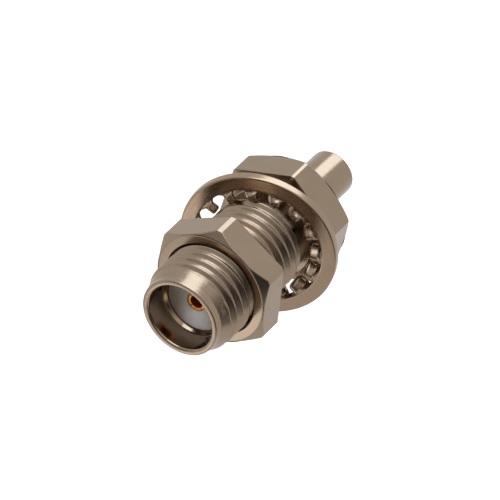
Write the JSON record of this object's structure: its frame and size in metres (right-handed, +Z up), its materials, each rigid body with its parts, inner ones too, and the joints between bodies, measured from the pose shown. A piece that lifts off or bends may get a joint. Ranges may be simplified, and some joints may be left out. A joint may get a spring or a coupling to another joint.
{
  "type": "threaded coaxial panel jack",
  "caption": "Threaded coaxial panel jack with hex flange, loose internal-tooth lock washer, hex panel nut, slotted centre socket in a white insulator and a rear crimp ferrule.",
  "frame": {"origin": "on the jack's axis, in the plane of the flange's front face, where it seats on the back of a panel", "axes": "the jack lies along Y with its mating end towards -Y and its cable end towards +Y; +Z is up"},
  "size_m": [0.0103, 0.0184, 0.0104],
  "materials": {
    "nickel": "bright nickel plate",
    "ptfe": "waxy white",
    "gold": "gold plate"
  },
  "bodies": {
    "jack": {"shell": "nickel", "dielectric": "ptfe", "centre_contact": "gold"},
    "ferrule": {"crimp_ferrule": "nickel"},
    "nut": {"panel_nut": "nickel"},
    "washer": {"lock_washer": "nickel"}
  },
  "joints": [
    {"name": "washer_slide", "type": "slide", "parent": "jack", "child": "washer", "axis": [0, -1, 0], "range_m": [-0.00025, 0.0112]},
    {"name": "nut_travel", "type": "slide", "parent": "washer", "child": "nut", "axis": [0, -1, 0], "range_m": [-0.0022, 0.0062]},
    {"name": "ferrule_slide", "type": "slide", "parent": "jack", "child": "ferrule", "axis": [0, 1, 0], "range_m": [0, 0.0055]}
  ]
}
